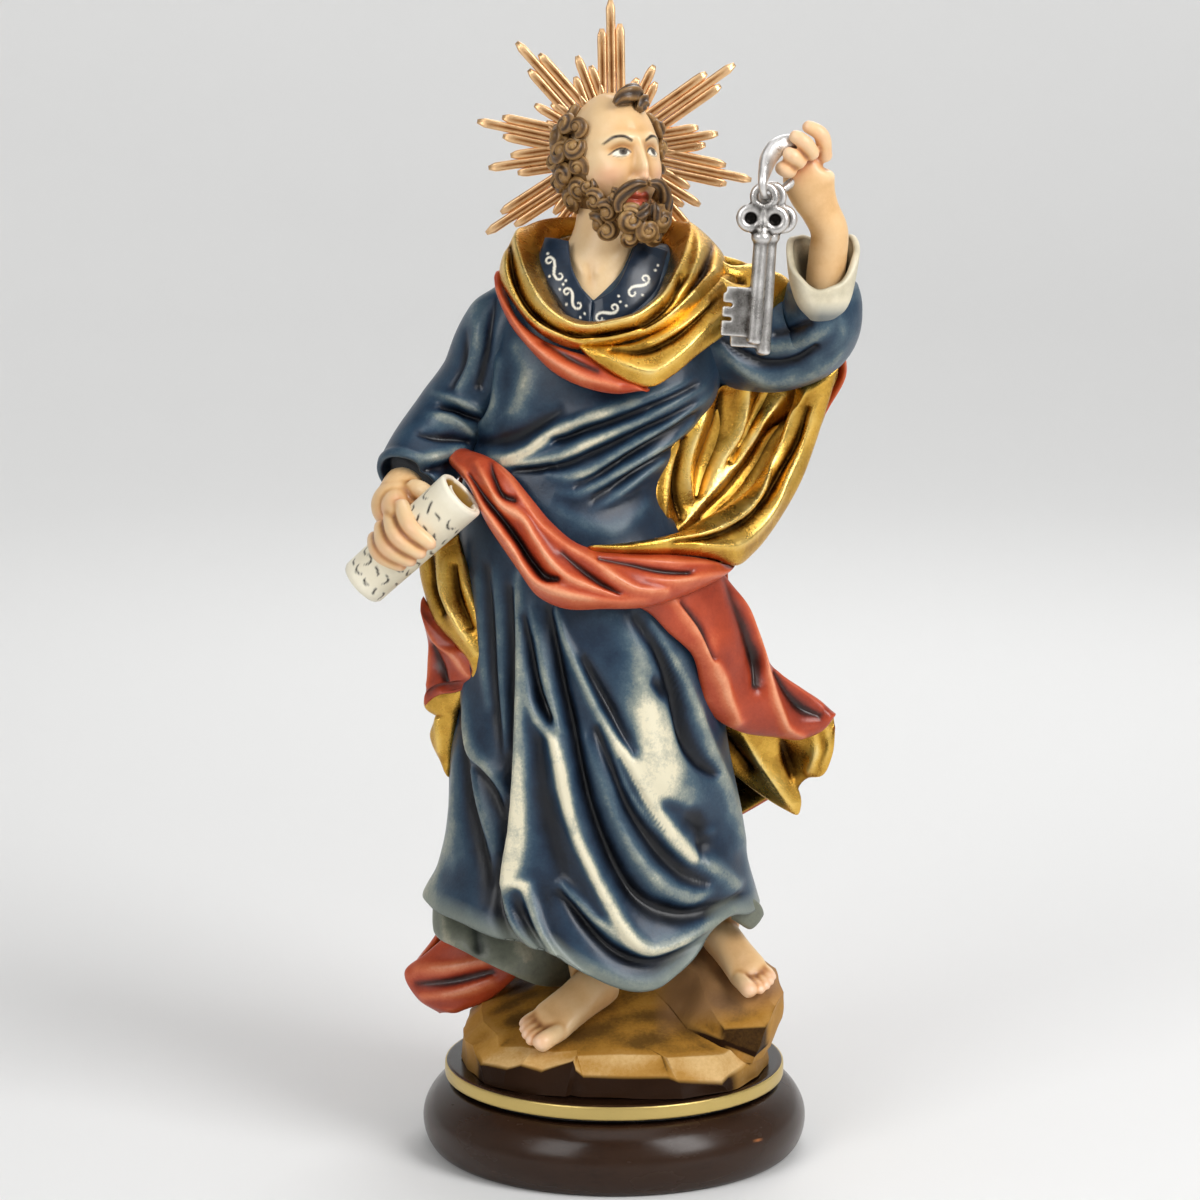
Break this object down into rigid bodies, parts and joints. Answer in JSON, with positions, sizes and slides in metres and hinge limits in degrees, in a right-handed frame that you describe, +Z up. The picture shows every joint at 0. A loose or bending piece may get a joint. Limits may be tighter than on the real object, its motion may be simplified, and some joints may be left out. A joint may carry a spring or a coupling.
{
  "type": "statue",
  "caption": "Standing bearded saint in robe and mantle, with scroll, raised hand with keys and a ray halo, on a round turned plinth.",
  "frame": {"origin": "centre of the plinth's underside", "axes": "+Z up through the figure, -Y the way it faces, +X towards its raised arm"},
  "size_m": [0.1558, 0.121, 0.3574],
  "materials": {
    "robe_blue": "hand painted, satin, cream on the ridges",
    "mantle_red": "hand painted, satin",
    "leaf_gold": "burnished gold leaf with dark patina in the folds",
    "flesh": "hand painted, satin",
    "hair_brown": "hand painted, dry-brushed",
    "scroll_ivory": "hand painted, satin",
    "rock_ochre": "glazed paint over chisel faces",
    "plinth_stain": "dark stain, satin varnish",
    "halo_gold": "coppery gold paint",
    "key_silver": "cast, silvered, with dark patina"
  },
  "bodies": {
    "root": {"turned_plinth": "plinth_stain", "saint_figure": "robe_blue", "ray_halo": "halo_gold", "key_ring": "key_silver", "front_key": "key_silver", "back_key": "key_silver"}
  },
  "joints": []
}
